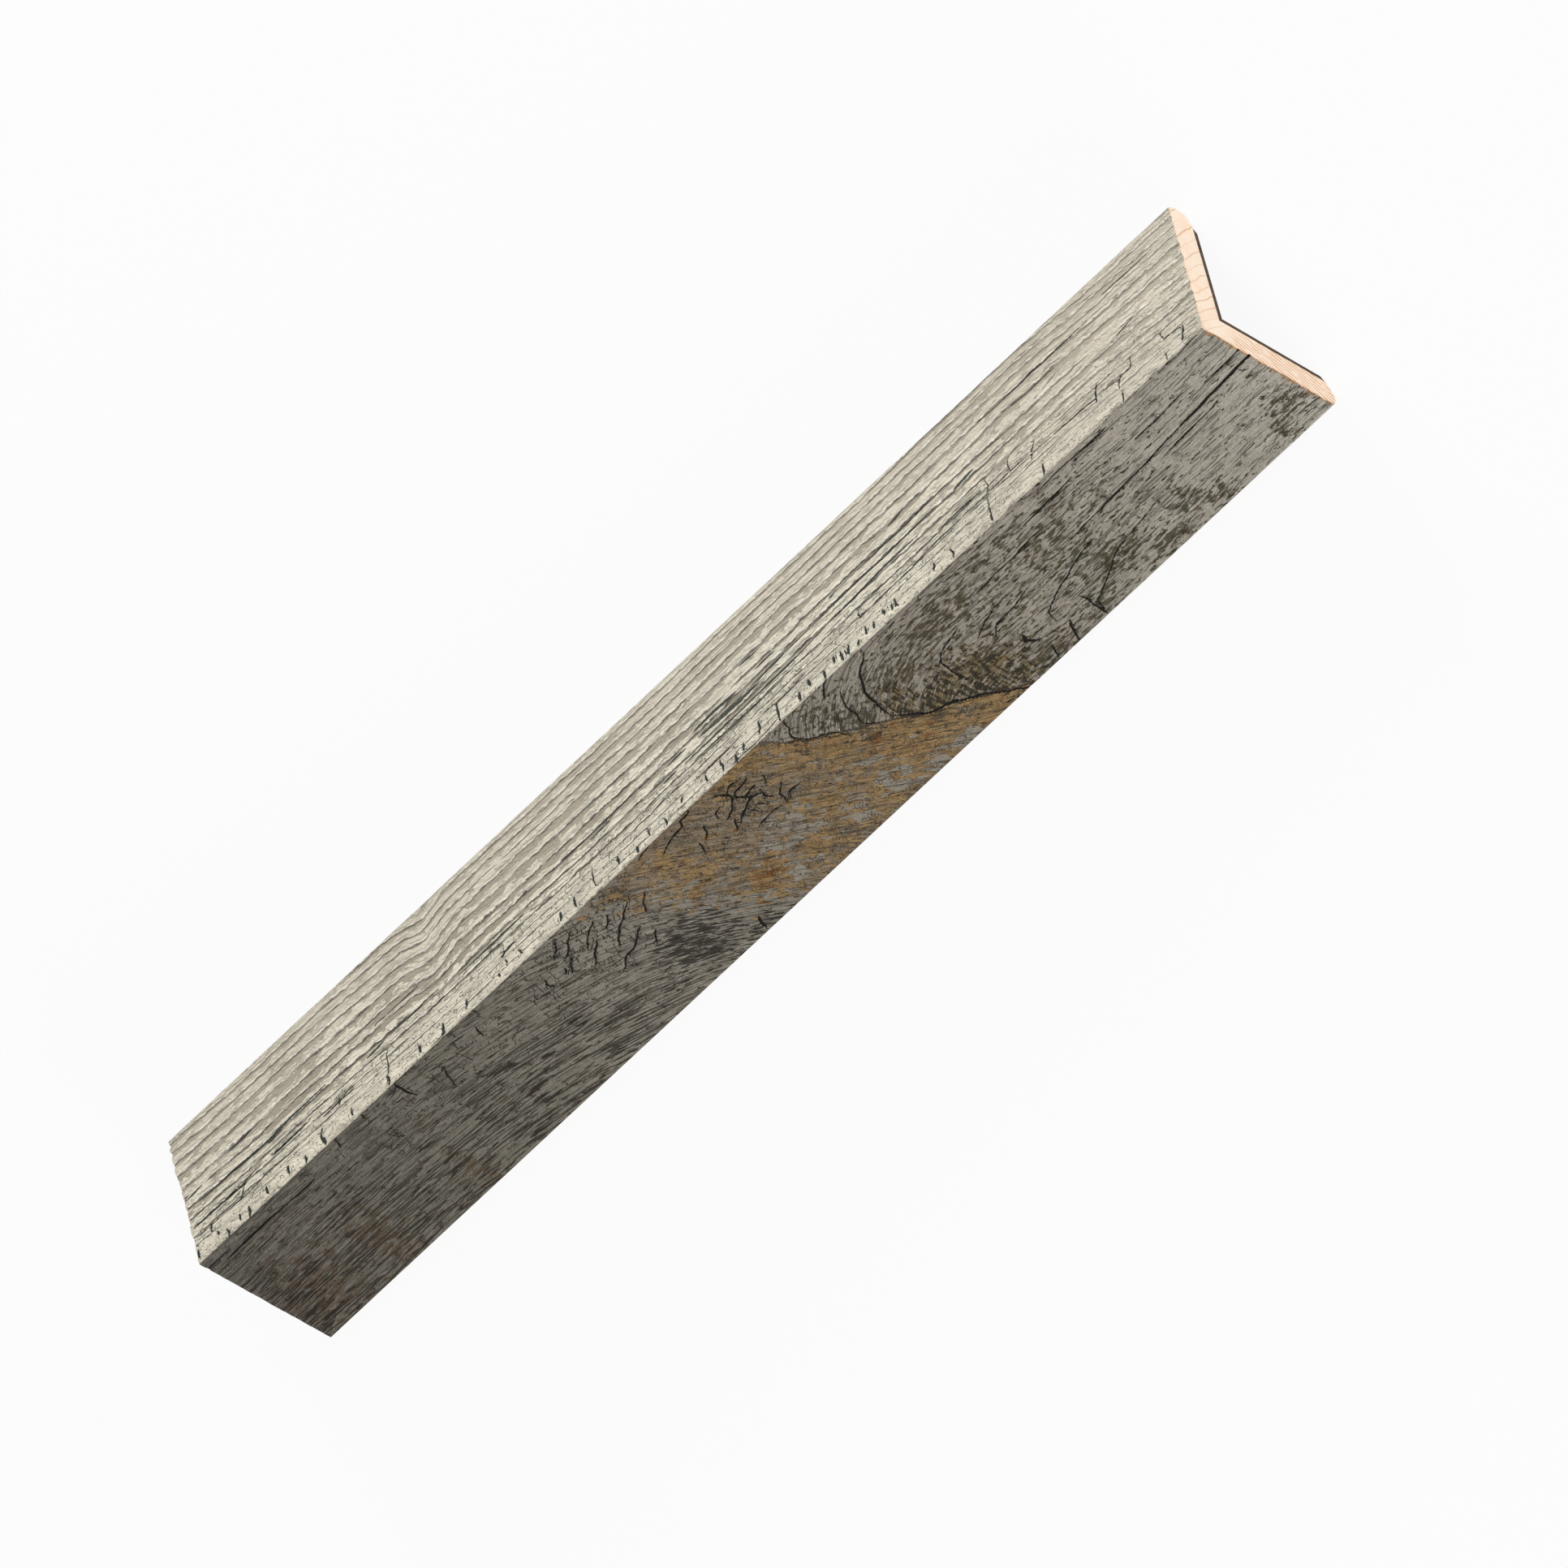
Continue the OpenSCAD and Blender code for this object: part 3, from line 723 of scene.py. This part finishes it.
def whitewashedPine():
    # Pine brushed until its soft rings sank, then whitewashed: matt cream paint on the ridges with a painted
    # highlight on its rim and a painted shadow line where it stops, grey in the grooves that is partly
    # thinner paint and partly painted shade, dark checks where it has dried
    look = {
        "roughness": 0.85,
        "paint": "#D8D1C0",
        "paintWarm": "#DAD1BB",
        "paintDull": "#BDB5A5",
        # rim: a painted highlight on the edge of the paint beside the grooves
        "rim": "#E7E2D4",
        # groove: grey in the recesses, partly thinner paint and partly painted shade
        "groove": "#989080",
        "streak": "#A0988A",
        # edge: a painted shadow line at the grooves' straight side, also the colour of the thin dark lines
        "edge": "#46423A",
        "hair": "#3D3F37",
        "darkStreak": "#2F332C",
        "check": "#2C332F",
        # patterns, as woodNoise and hairlines take them
        "lumps": (1.8, 0.9, 4, 2),
        "blobs": (4.5, 1.5, 4, 17),
        "grit": (0.7, 0.5, 2, 9),
        "fibres": (7, 0.6, 3, 1),
        "clouds": (25, 8, 2, 5),
        "edgeBreaks": (8, 0.3, 3, 7, 0.32, 0.5),
        "streaks": (6, 0.7, 4, 30, 0.6, 0.63),
        "thinLines": (20, 1.2, 1, 41, 0.24),
        "thinPatches": (8, 2.5, 2, 52, 0.47, 0.5),
        "nickLines": (3.5, 1.2, 2, 57, 0.22),
        "nickPatches": (3, 1.2, 2, 63, 0.57, 0.6),
        "hairLines": (22, 1.2, 1, 4, 0.28),
        "hairPatches": (9, 1.5, 2, 71, 0.57, 0.6),
        "shortLines": (1.6, 2.6, 2, 12, 0.24),
        "shortPatches": (2.2, 1, 2, 83, 0.53, 0.56),
    }
    material = startTree(bpy.data.materials.new("whitewashedPine"))
    along, ring, half = attribute("paleGrain")
    across = attribute("sectionAt")[0]
    line = addNode("Math", {0: ring}, operation="ROUND")
    ringWide = paleBoard["ringWide"]
    ringMm = weigh(0, (ring, ringWide))
    lump = woodNoise(along, ringMm, look["lumps"])
    blob = woodNoise(along, ringMm, look["blobs"])
    grit = woodNoise(along, across, look["grit"])
    offset = weigh(-0.6, (ringMm, 1), (line, -ringWide), (lump, 0.7), (blob, 0.5))
    warped = weigh(ringMm, (lump, 0.8))
    fibre = woodNoise(along, warped, look["fibres"])
    cloud = woodNoise(along, ringMm, look["clouds"])

    # each groove is straight towards the tip and lumpy towards the corner, more so past the middle
    upper = product(half, weigh(0.15, (fibre, 0.8)))
    lower = product(half, weigh(-3, (lump, 3.2), (blob, 4.8)), between(along, 70, 170, 1, 1.5))
    top = weigh(upper, (offset, -1))
    bottom = weigh(lower, (offset, 1))
    inside = addNode("Math", {0: top, 1: bottom}, operation="MINIMUM")
    here = between(half, 0.03, 0.15)
    # the groove mask; its grey coat is partly painted shade of the recess
    groove = product(between(inside, -0.03, 0.06), here)
    # the straight side has a broken dark line, a painted shadow of the groove's wall, and beyond it a
    # painted highlight on the rim of the paint
    sink = addNode("Math", {0: top}, operation="ABSOLUTE")
    edge = product(between(sink, 0.22, 0.1), here, woodNoise(along, line, look["edgeBreaks"]),
                   between(along, 5, 80, 0.2, 0.85), between(across, 36, 14, 0.5, 1))
    rim = product(between(top, -0.16, -0.22), between(top, -0.6, -0.4), here)
    flat = between(groove, 1, 0)
    nearEnd = between(along, 95, 45, 0.3, 1)
    low = between(across, 26, 12, 0.3, 1)
    calm = product(between(across, 4, 10, 0.4, 1), between(along, 10, 80, 0.7, 1))
    streak = product(woodNoise(along, warped, look["streaks"]), flat, nearEnd)

    # thin dark lines between the grooves, and crackle near the outer corner with short lines across
    thin = product(hairlines(along, warped, look["thinLines"]), flat, low, calm,
                   woodNoise(along, warped, look["thinPatches"]))
    nick = product(hairlines(along, warped, look["nickLines"]), flat, low,
                   woodNoise(along, warped, look["nickPatches"]), between(across, 6, 12))
    near = product(between(across, 13, 10), between(along, 20, 100, 0.45, 1))
    hair = product(hairlines(along, warped, look["hairLines"]), near, calm,
                   woodNoise(along, across, look["hairPatches"]))
    short = product(hairlines(along, across, look["shortLines"], True), near,
                    woodNoise(along, across, look["shortPatches"]))
    hair = addNode("Math", {0: hair, 1: short}, operation="MAXIMUM")
    thin = addNode("Math", {0: thin, 1: nick}, operation="MAXIMUM")
    darkStreak = drawnCracks("paleStreaks", along, across)
    crack = drawnCracks("paleMarks", along, across)

    # the paint is duller in clouds, at the end that shows, towards the tip and along its fibres
    # over it, the rim coat is a painted highlight and the first edge coat a painted shadow line
    colour = layers(look, "paint", ("paintWarm", between(grit, 0.35, 0.75)),
                    ("paintDull", between(cloud, 0.45, 0.75, 0, 0.4)),
                    ("paintDull", between(along, 95, 30, 0, 0.35)),
                    ("paintDull", between(across, 12, 38, 0, 0.4)),
                    ("paintDull", between(fibre, 0.54, 0.75, 0, 0.4)),
                    ("streak", streak, 0.9), ("rim", rim, 0.8),
                    ("groove", groove, between(across, 38, 16, 0.75, 1), calm),
                    ("edge", edge), ("edge", thin, 0.6), ("hair", hair, 0.75), ("darkStreak", darkStreak, 0.95),
                    ("check", crack))
    return finishWood(material, look["roughness"], colour, (groove, -0.3), (streak, -0.15), (rim, 0.15),
                      (lump, 0.52), (blob, 0.3), (fibre, 0.3), (grit, 0.26), (thin, -0.25), (hair, -0.25),
                      (darkStreak, -0.2), (crack, -0.4))


def greyBarnPine():
    # The same pine left grey by the weather, all matt, its paint darker than the pale leg's partly from
    # weathering and partly as painted shade: thin dull paint full of fine cracks, dark spots where it has
    # flaked, combed stripes beside a knot, and tan heartwood that the paint has nearly left
    look = {
        "roughness": 0.88,
        # the paint from the end that shows to the far one, darkening partly as weathered paint and partly as
        # painted shade
        "tones": ((0, "#BAB3A6"), (0.19, "#ABA396"), (0.36, "#9C9487"), (0.62, "#968F82"),
                  (0.78, "#817C70"), (1, "#726E65")),
        "fibreDark": "#544E43",
        "flake": "#7C725B",
        "flakeDeep": "#4D452F",
        "moss": "#62665B",
        "cluster": "#2E2922",
        "brown": "#614C36",
        "stripe": "#2F291C",
        "between": "#94805A",
        "heart": "#A6885C",
        "heartBrown": "#775D3D",
        "heartRust": "#825529",
        "heartGrey": "#958671",
        "heartPaint": "#A29A8C",
        "plate": "#2E2A23",
        "crack": "#1C1915",
        "fray": "#B98A5C",
        # patterns, as woodNoise and hairlines take them
        "lumps": (1.7, 0.8, 4, 2),
        "grit": (0.7, 0.5, 2, 9),
        "patches": (2.7, 1.4, 6, 9),
        "fibres": (9, 0.55, 3, 1),
        "clouds": (14, 5, 3, 5),
        "swirls": (6, 4, 3, 81),
        "veins": (3.6, 0.7, 5, 12),
        "clumps": (5, 2.6, 6, 14),
        "islands": (7, 3, 6, 77),
        "dashLines": (20, 0.9, 1, 40, 0.28),
        "dashBreaks": (8, 1.6, 3, 44),
        "boldLines": (30, 1.4, 1, 47, 0.3),
        "boldPatches": (12, 1.2, 2, 58, 0.43, 0.46),
        "shortLines": (2, 3.6, 3, 61, 0.24),
        "plateLines": (1.6, 1.2, 3, 71, 0.24),
        "platePatches": (4, 3, 3, 93, 0.5, 0.54),
        "strokes": (2.6, 0.65, 4, 23),
        "reeds": (9, 0.75, 3, 66),
        "specks": (1.7, 1.2, 4, 35),
        "bars": (0.9, 4, 3, 25),
    }
    material = startTree(bpy.data.materials.new("greyBarnPine"))
    along, grain, heart = attribute("greyGrain")
    flakes, dark, brown = attribute("greySpots")
    stripes, net, spotted = attribute("greyChecks")
    tan, islands, rust = attribute("heartSpots")
    across, cross = attribute("sectionAt")[1:]

    # the tone darkens along the piece, partly weathering and partly painted shade
    share = weigh(0, (along, 1 / length))
    tone = addNode("ValToRGB", {0: share}, ramp=look["tones"])
    lump = woodNoise(along, grain, look["lumps"])
    grit = woodNoise(along, grain, look["grit"])
    warped = weigh(grain, (lump, 0.5))
    patch = woodNoise(along, warped, look["patches"])
    far = between(along, 165, 215)
    gentle = weigh(grain, (lump, 0.22))
    fibre = woodNoise(along, gentle, look["fibres"])
    cloud = woodNoise(along, grain, look["clouds"])
    light = weigh(0.33, (fibre, 0.9), (cloud, 0.2), (grit, 0.3))
    paint = addNode("VectorMath", {0: tone, 3: light}, operation="SCALE")

    # tan heartwood: bare in patches and streaks, grey paint left in ragged islands, rust where it is rough
    swirl = woodNoise(along, grain, look["swirls"])
    heartGrain = weigh(grain, (swirl, 4), (lump, 0.8))
    vein = woodNoise(cross, heartGrain, look["veins"])
    clump = woodNoise(cross, heartGrain, look["clumps"])
    ragged = product(weigh(-9, (clump, 12), (vein, 6)), between(along, 150, 166))
    heart = weigh(heart, (ragged, 1))
    inHeart = between(heart, -0.2, 0.5)
    notHeart = between(heart, 0.5, -0.2)
    bare = between(weigh(-0.3, (vein, 0.5), (clump, 0.7), (tan, 0.33)), 0.34, 0.5, 0, 0.95)
    rough = between(weigh(0, (clump, 0.6), (vein, 0.4), (rust, 0.18)), 0.63, 0.69, 0, 0.85)
    heartWood = layers(look, "heartGrey", ("heart", bare),
                       ("heartBrown", between(vein, 0.5, 0.4, 0, 0.6)), ("heartRust", rough))
    heartWood = addNode("VectorMath", {0: heartWood, 3: light}, operation="SCALE")
    island = woodNoise(cross, heartGrain, look["islands"])
    left = between(weigh(0, (island, 1), (islands, 0.23), (tan, -0.02)), 0.63, 0.65)
    colour = layers(look, paint, (heartWood, inHeart), ("heartPaint", left, inHeart, 0.9))

    # fine lines along the grain, bolder towards the far end, and short cracks across it
    calm = addNode("Math", {0: inHeart, 1: between(along, 45, 15)}, operation="MAXIMUM")
    broken = woodNoise(along, warped, look["dashBreaks"])
    broken = between(weigh(0, (broken, 1), (calm, -0.03)), 0.47, 0.52)
    dash = product(hairlines(along, gentle, look["dashLines"]), broken)
    bold = product(hairlines(along, gentle, look["boldLines"]), far,
                   woodNoise(along, gentle, look["boldPatches"]), between(across, 8, 22, 0.3, 1))
    short = product(hairlines(cross, grain, look["shortLines"], True),
                    between(weigh(0, (net, 0.25), (far, 0.04), (patch, 1)), 0.64, 0.66))
    plates = product(hairlines(cross, heartGrain, look["plateLines"], True), inHeart,
                     woodNoise(cross, heartGrain, look["platePatches"]))
    bold = addNode("Math", {0: bold, 1: short}, operation="MAXIMUM")

    # flaked spots: the soft patches kept on the mesh lower the threshold of a ragged noise
    stroke = woodNoise(along, warped, look["strokes"])
    reed = woodNoise(along, gentle, look["reeds"])
    fine = addNode("Mix", {0: far, 2: stroke, 3: reed})
    speck = woodNoise(along, across, look["specks"])
    flake = weigh(0, (patch, 0.45), (stroke, 0.55), (flakes, 0.24), (calm, -0.03))
    flake = between(flake, 0.62, 0.64)
    deep = weigh(0, (fine, 0.8), (patch, 0.2), (flakes, 0.22), (flake, 0.02), (calm, -0.03),
                 (brown, 0.09))
    spots = between(weigh(0, (speck, 1), (spotted, 0.17)), 0.69, 0.71)
    deep = addNode("Math", {0: between(deep, 0.66, 0.68), 1: spots}, operation="MAXIMUM")
    cluster = between(weigh(0, (fine, 0.8), (patch, 0.2), (dark, 0.19)), 0.63, 0.65)
    worn = weigh(0, (patch, 0.55), (stroke, 0.45), (brown, 0.18))
    worn = product(between(worn, 0.59, 0.63), notHeart)
    weaker = between(far, 0, 1, 0.85, 0.55)

    # combed stripes across the grain beside the knot, olive and tan between them
    combed = product(between(weigh(0, (stripes, 0.5), (patch, 1)), 0.66, 0.78), notHeart)
    bars = woodNoise(weigh(along, (lump, 0.9)), across, look["bars"])
    bars = between(weigh(0, (bars, 0.75), (stroke, 0.35)), 0.54, 0.57)
    crack = drawnCracks("greyMarks", along, across)
    fray = between(weigh(0, (along, 1), (lump, -4)), -1.5, -1.7, 0, 0.85)

    colour = layers(look, colour, ("fibreDark", dash, between(far, 0, 1, 0.7, 0.95)),
                    ("plate", plates, 0.7), ("brown", worn, 0.65), ("flake", flake, weaker),
                    ("flakeDeep", deep, weaker), ("moss", between(cloud, 0.5, 0.6), flake, 0.4),
                    ("between", combed, between(clump, 0.4, 0.6, 0.15, 0.7)),
                    ("stripe", combed, bars, 0.9), ("cluster", cluster, 0.9), ("plate", bold, 0.9),
                    ("fray", fray), ("crack", crack))
    return finishWood(material, look["roughness"], colour, (fibre, 0.45), (lump, 0.4), (grit, 0.4),
                      (dash, -0.2), (left, 0.12), (plates, -0.15), (flake, -0.15), (deep, -0.15),
                      (bars, -0.1), (bold, -0.25), (crack, -0.4))


def sectionPlace():
    # the place along the piece and u and v of its section, in millimetres, from the place in the frame
    place = addNode("TexCoord", out="Object")
    legs = []
    for side in (slope, -slope):
        leg = addNode("VectorMath", {0: place, 1: (0, side / mm, -slope / mm)}, out="Value",
                      operation="DOT_PRODUCT")
        legs.append(addNode("Math", {0: leg, 1: ridge * slope}, operation="ADD"))
    along = addNode("SeparateXYZ", {0: place})
    along = addNode("Math", {0: along, 1: -1 / mm, 2: length / 2}, operation="MULTIPLY_ADD")
    return along, *legs


# The tree's rings in the section, in millimetres and degrees
treeRings = {
    # spacing, from where to where on u - v they come in, strength
    "pale": (2.15, -6, 2, 0.8),
    "grey": (1.1, -3, -10, 1.8),
    "paleTurn": (41, 50),  # how they cross the pale leg, from the corner to the tip
    "greyTurn": -22,  # how they run out through the grey leg
    "lateWood": 0.5,  # width of a ring's darker wood
    "lateEdge": 0.1,  # and of its crisp edge
}


def sawnPine(name, look):
    # Pine straight from the saw: pale and dry, with thin tan late-wood lines that show the tree's rings
    material = startTree(bpy.data.materials.new(name))
    along, u, v = sectionPlace()
    side = weigh(u, (v, -1))
    bend = woodNoise(u, v, (7, 7, 2, 3))
    grit = woodNoise(u, v, (0.35, 0.35, 3, 4))
    cloud = woodNoise(u, v, (4, 4, 2, 6))
    t = treeRings
    start, end = (math.radians(angle) for angle in t["paleTurn"])
    paleTurn = addNode("MapRange", {"Value": side, "From Max": 34, "To Min": start, "To Max": end})
    lines = 0
    for turn, (spacing, start, end, strong) in ((paleTurn, t["pale"]),
                                                (math.radians(t["greyTurn"]), t["grey"])):
        cosine = addNode("Math", {0: turn}, operation="COSINE")
        sine = addNode("Math", {0: turn}, operation="SINE")
        rings = weigh(0, (product(u, cosine), 1), (product(v, sine), -1), (bend, 1.2))
        phase = addNode("Math", {0: weigh(0, (rings, 1 / spacing))}, operation="FRACT")
        peak = 1 - t["lateEdge"] / spacing
        late = product(between(phase, 1 - t["lateWood"] / spacing, peak), between(phase, 1, peak),
                       between(side, start, end), strong)
        fade = woodNoise(side, rings, (5, spacing, 2, 8 + spacing, 0.3, 0.6))
        lines = weigh(lines, (product(late, fade), 1))
    # a little darker where the saw broke the edges of the outer faces
    depth = addNode("Math", {0: u, 1: v}, operation="MINIMUM")
    rim = product(between(weigh(0, (depth, 1), (grit, 0.9)), 1, 0.6),
                  between(side, 2, -8, 0.3, 0.6))
    colour = layers(look, "wood", ("shade", between(cloud, 0.4, 0.75, 0, 0.6)),
                    ("shade", between(grit, 0.5, 0.8, 0, 0.4)), ("ring", lines), ("ring", rim))
    return finishWood(material, look["roughness"], colour, (lines, 0.04), (grit, 0.06))


def greyedMillEdge():
    # The eased tips: planed pine that has greyed, with paint smeared over its outer rim
    look = {
        "roughness": 0.85,
        "wood": "#B29C80",
        "grey": "#8D8578",
        "line": "#6A5D4C",
        "fibres": (14, 0.5, 4, 2),
        "clouds": (18, 2.5, 4, 6),
    }
    material = startTree(bpy.data.materials.new("greyedMillEdge"))
    along, u, v = sectionPlace()
    depth = addNode("Math", {0: u, 1: v}, operation="MINIMUM")
    fibre = woodNoise(along, depth, look["fibres"])
    cloud = woodNoise(along, depth, look["clouds"])
    smear = between(weigh(-2.4, (cloud, 7), (depth, -1)), -0.4, 0.4)
    colour = layers(look, "wood", ("grey", smear), ("line", between(fibre, 0.52, 0.72, 0, 0.8)))
    return finishWood(material, look["roughness"], colour, (fibre, 0.12))


def darkBackSheet():
    # A dark brown sheet on the back, whose edge is the dark line round the inside of the sawn ends: dull,
    # with short crossed fibres
    look = {
        "roughness": 0.95,
        "sheet": "#54443A",
        "fibre": "#78665A",
        "deep": "#3A2E26",
        "fibresAlong": (2.4, 0.35, 4, 1),
        "fibresAcross": (0.4, 2, 4, 5),
        "clouds": (9, 6, 3, 8),
    }
    material = startTree(bpy.data.materials.new("darkBackSheet"))
    along, u, v = sectionPlace()
    across = weigh(u, (v, -1))
    lengthways = woodNoise(along, across, look["fibresAlong"])
    crossways = woodNoise(along, across, look["fibresAcross"])
    fibre = addNode("Math", {0: lengthways, 1: crossways}, operation="MAXIMUM")
    cloud = woodNoise(along, across, look["clouds"])
    colour = layers(look, "sheet", ("fibre", between(fibre, 0.55, 0.75, 0, 0.8)),
                    ("deep", between(cloud, 0.5, 0.75, 0, 0.7)))
    return finishWood(material, look["roughness"], colour, (fibre, 0.12))


# The sawn pine of the back and of the ends
roughBack = {"roughness": 0.75, "wood": "#C9AE88", "shade": "#BB9E78", "ring": "#A68660"}
freshEnd = {"roughness": 0.75, "wood": "#FFEBD6", "shade": "#FBDDC0", "ring": "#DFA778"}

# one material for each of the parts, in their order
for material in (whitewashedPine(), greyBarnPine(), greyedMillEdge(),
                 sawnPine("roughBackPine", roughBack), sawnPine("freshSawnPine", freshEnd)):
    moulding.data.materials.append(material)

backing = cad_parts["backing"]
backing.data.materials.clear()
backing.data.materials.append(darkBackSheet())
print("materials built")
